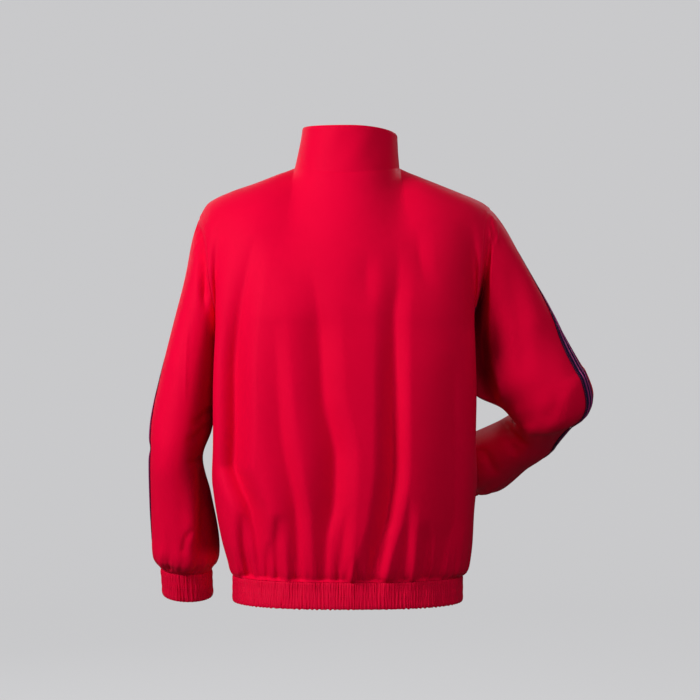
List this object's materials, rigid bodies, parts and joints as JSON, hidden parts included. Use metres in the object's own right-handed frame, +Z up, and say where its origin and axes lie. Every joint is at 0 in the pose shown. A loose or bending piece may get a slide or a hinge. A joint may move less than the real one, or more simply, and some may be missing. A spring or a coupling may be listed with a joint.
{
  "type": "windbreaker",
  "caption": "Zip-up reversible windbreaker with a stand collar, set-in sleeves taped down the outside, and an elasticated hem band and cuffs, in its worn form.",
  "frame": {"origin": "middle of the neck's base, level with the points where the shoulder seams meet the collar", "axes": "+Z up, front towards -Y, the wearer's left towards +X"},
  "size_m": [0.7022, 0.3567, 0.7544],
  "materials": {
    "shell": "smooth woven polyester with a soft sheen",
    "rib": "the same cloth ruched over elastic",
    "tape": "dark navy woven cloth",
    "zip_teeth": "moulded teeth on dyed woven tape",
    "zip_metal": "satin zinc alloy"
  },
  "bodies": {
    "garment": {"back": "shell", "front_left": "shell", "front_right": "shell", "collar": "shell", "hem_band": "rib", "sleeve_left": "shell", "sleeve_right": "shell", "cuff_left": "rib", "cuff_right": "rib", "sleeve_tape_left": "tape", "sleeve_tape_right": "tape", "zip_chain": "zip_teeth", "zip_slider": "zip_metal"},
    "pull": {"zip_pull": "zip_metal"}
  },
  "joints": [
    {"name": "zip_pull_hinge", "type": "hinge", "parent": "garment", "child": "pull", "pos_m": [0, -0.08699, -0.0145], "axis": [-1, 0, 0], "range_deg": [0, 160]}
  ]
}
